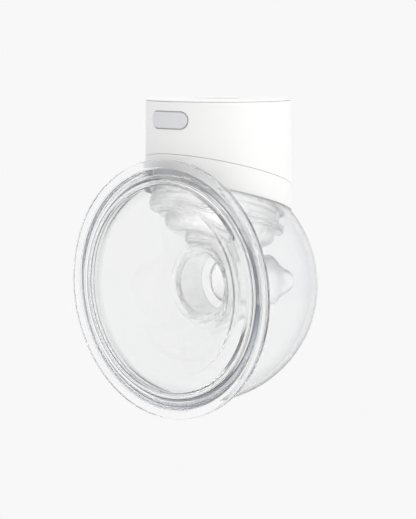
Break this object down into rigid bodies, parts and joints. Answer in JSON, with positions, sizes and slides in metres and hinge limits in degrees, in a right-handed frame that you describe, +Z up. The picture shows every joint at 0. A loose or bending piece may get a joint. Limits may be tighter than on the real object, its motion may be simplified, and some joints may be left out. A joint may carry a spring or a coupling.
{
  "type": "breast pump",
  "caption": "Wearable breast pump: clear soft breast flange, clear domed milk collector with valve and diaphragm, and a white round motor unit seated on a sloping neck.",
  "frame": {"origin": "centre of the nipple tunnel where its straight bore starts", "axes": "+Z up through the motor unit, -Y out of the tunnel towards the wearer, +X to the pump's right as the wearer side faces the viewer"},
  "size_m": [0.1024, 0.0691, 0.1254],
  "materials": {
    "clear_silicone": "soft clear gloss",
    "clear_plastic": "clear gloss",
    "milky_silicone": "soft satin",
    "grey_silicone": "soft matte",
    "light_grey_silicone": "soft satin",
    "white_housing": "satin",
    "white_gloss": "gloss",
    "dark_window": "gloss",
    "black_plastic": "satin",
    "grey_plastic": "satin",
    "board_green": "satin",
    "battery_wrap": "satin foil",
    "steel": "brushed",
    "bright_steel": "polished",
    "brass": "turned"
  },
  "bodies": {
    "flange_body": {"flange": "clear_silicone"},
    "collector": {"milk_collector": "clear_plastic", "linker": "clear_plastic", "duckbill_valve": "milky_silicone"},
    "diaphragm": {"diaphragm": "milky_silicone"},
    "motor_unit": {"base_shell": "white_housing", "base_seal": "milky_silicone", "housing": "white_housing", "top_cover": "white_gloss", "display_lens": "dark_window", "display_panel": "black_plastic", "keypad_membrane": "grey_silicone", "control_board": "board_green", "tactile_switches": "bright_steel", "usb_socket": "bright_steel", "battery": "battery_wrap", "chassis": "grey_plastic", "housing_screws": "steel", "board_screws": "steel", "pump_motor": "bright_steel", "motor_sleeve": "grey_silicone", "pump_head": "black_plastic", "wobble_plate": "grey_plastic", "pump_diaphragm": "grey_silicone", "head_cover": "black_plastic", "t_connector": "grey_plastic", "pump_tube": "milky_silicone", "valve_tube": "milky_silicone", "release_valve": "steel"},
    "power_key": {"power_button": "white_gloss"},
    "mode_key": {"mode_button": "white_gloss"},
    "level_up_key": {"level_up_button": "white_gloss"},
    "level_down_key": {"level_down_button": "white_gloss"},
    "port_flap": {"port_cover": "light_grey_silicone"},
    "pump_rotor": {"motor_shaft": "steel", "eccentric": "brass"},
    "valve_core": {"valve_plunger": "bright_steel"}
  },
  "joints": [
    {"name": "collector_pull", "type": "slide", "parent": "flange_body", "child": "collector", "axis": [0, 1, 0], "range_m": [0, 0.06]},
    {"name": "diaphragm_stroke", "type": "slide", "parent": "collector", "child": "diaphragm", "axis": [0, 0.2756, 0.9613], "range_m": [0, 0.006], "stiffness_N_per_m": 250, "deforming": ["diaphragm"]},
    {"name": "motor_lift", "type": "slide", "parent": "collector", "child": "motor_unit", "axis": [0, 0.2756, 0.9613], "range_m": [0, 0.06]},
    {"name": "power_press", "type": "slide", "parent": "motor_unit", "child": "power_key", "axis": [0, 0, -1], "range_m": [0, 0.00045], "stiffness_N_per_m": 900},
    {"name": "mode_press", "type": "slide", "parent": "motor_unit", "child": "mode_key", "axis": [0, 0, -1], "range_m": [0, 0.00045], "stiffness_N_per_m": 900},
    {"name": "level_up_press", "type": "slide", "parent": "motor_unit", "child": "level_up_key", "axis": [0, 0, -1], "range_m": [0, 0.00045], "stiffness_N_per_m": 900},
    {"name": "level_down_press", "type": "slide", "parent": "motor_unit", "child": "level_down_key", "axis": [0, 0, -1], "range_m": [0, 0.00045], "stiffness_N_per_m": 900},
    {"name": "port_flap_hinge", "type": "hinge", "parent": "motor_unit", "child": "port_flap", "pos_m": [-0.0103, -0.0174, 0.0664], "axis": [0, 0, -1], "range_deg": [0, 110]},
    {"name": "rotor_spin", "type": "hinge", "parent": "motor_unit", "child": "pump_rotor", "pos_m": [0, 0.018, 0.0453], "axis": [1, 0, 0], "continuous": true},
    {"name": "valve_open", "type": "slide", "parent": "motor_unit", "child": "valve_core", "axis": [1, 0, 0], "range_m": [0, 0.0009], "stiffness_N_per_m": 400}
  ]
}
